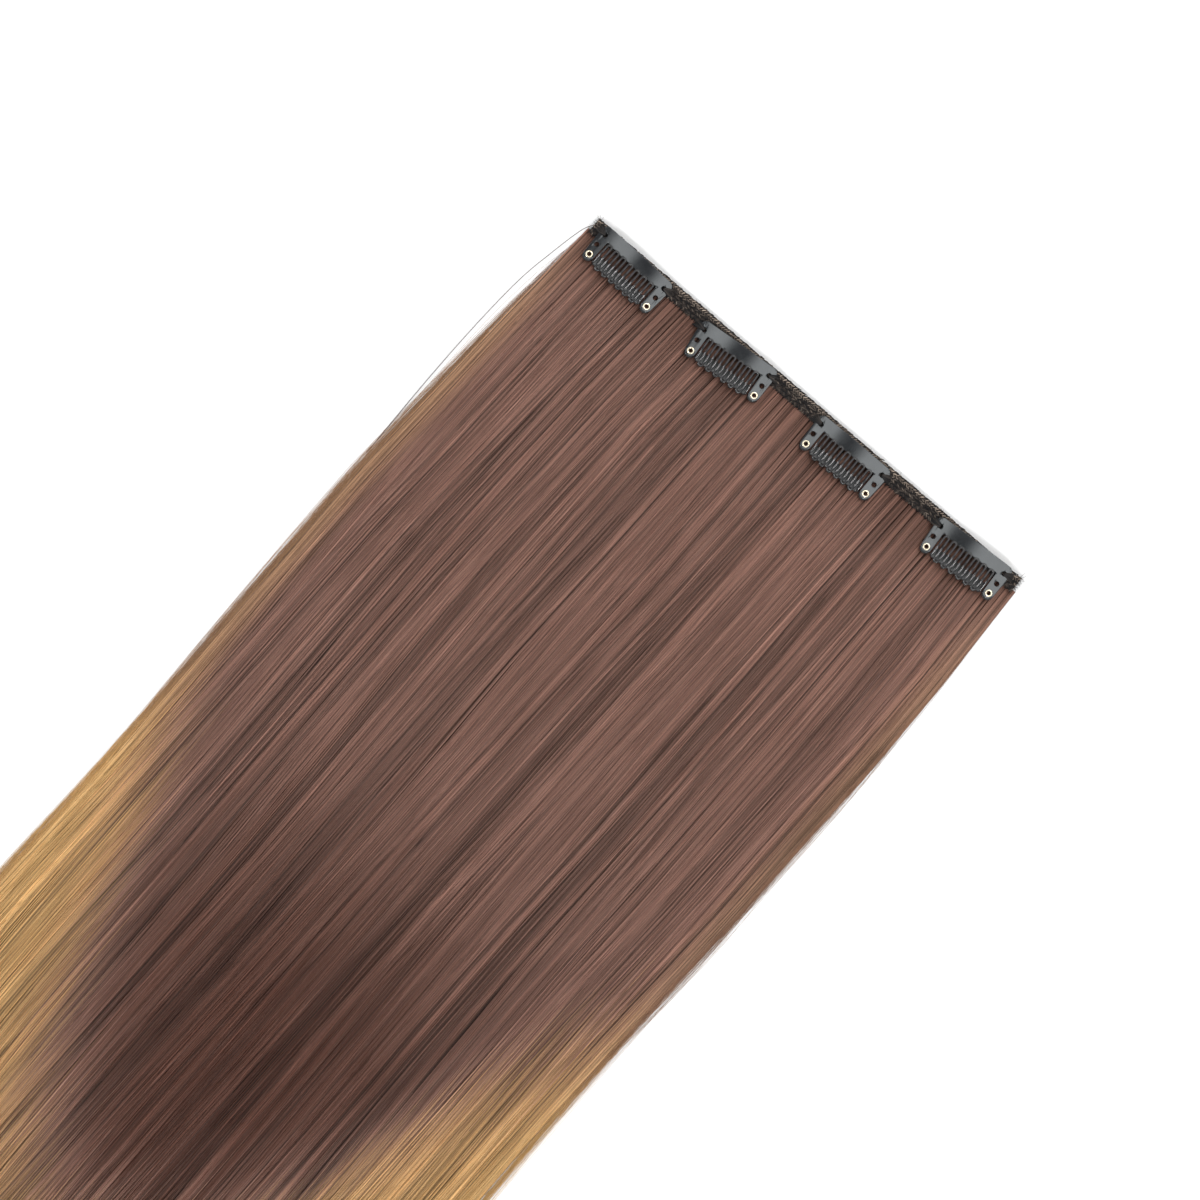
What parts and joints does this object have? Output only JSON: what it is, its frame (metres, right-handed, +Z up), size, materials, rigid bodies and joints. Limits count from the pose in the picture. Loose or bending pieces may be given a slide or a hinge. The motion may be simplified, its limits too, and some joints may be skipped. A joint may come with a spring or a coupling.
{
  "type": "clip in hair extension",
  "caption": "Clip-in hair extension: a long flat fall of straight hair on a sewn weft band, with snap clips whose combs hinge open to grip the wearer's hair.",
  "frame": {"origin": "on the surface that it lies on, under the middle of the whole outline", "axes": "+X along the band, +Y towards the band's top edge, +Z up, out of the clips' faces"},
  "size_m": [0.2374, 0.5604, 0.0068],
  "materials": {
    "band_thread": "matte",
    "hair": "satin",
    "black_paint": "gloss",
    "silicone": "satin",
    "brass": "polished"
  },
  "bodies": {
    "weft": {"weft_band": "band_thread", "hair_fall": "hair", "clip_1_plate": "black_paint", "clip_1_left_eyelet": "brass", "clip_1_right_eyelet": "brass", "clip_2_plate": "black_paint", "clip_2_left_eyelet": "brass", "clip_2_right_eyelet": "brass", "clip_3_plate": "black_paint", "clip_3_left_eyelet": "brass", "clip_3_right_eyelet": "brass", "clip_4_plate": "black_paint", "clip_4_left_eyelet": "brass", "clip_4_right_eyelet": "brass"},
    "comb_1": {"clip_1_comb": "black_paint", "clip_1_grip_tube": "silicone"},
    "comb_2": {"clip_2_comb": "black_paint", "clip_2_grip_tube": "silicone"},
    "comb_3": {"clip_3_comb": "black_paint", "clip_3_grip_tube": "silicone"},
    "comb_4": {"clip_4_comb": "black_paint", "clip_4_grip_tube": "silicone"}
  },
  "joints": [
    {"name": "clip_1_open", "type": "hinge", "parent": "weft", "child": "comb_1", "pos_m": [-0.0843, 0.26436, 0.0044], "axis": [0.9994, -0.0349, 0], "range_deg": [0, 30]},
    {"name": "clip_2_open", "type": "hinge", "parent": "weft", "child": "comb_2", "pos_m": [-0.02832, 0.26325, 0.0044], "axis": [0.9962, 0.0872, 0], "range_deg": [0, 30]},
    {"name": "clip_3_open", "type": "hinge", "parent": "weft", "child": "comb_3", "pos_m": [0.03086, 0.26352, 0.0044], "axis": [1, 0.0087, 0], "range_deg": [0, 30]},
    {"name": "clip_4_open", "type": "hinge", "parent": "weft", "child": "comb_4", "pos_m": [0.09419, 0.26437, 0.0044], "axis": [0.998, 0.0628, 0], "range_deg": [0, 30]}
  ]
}
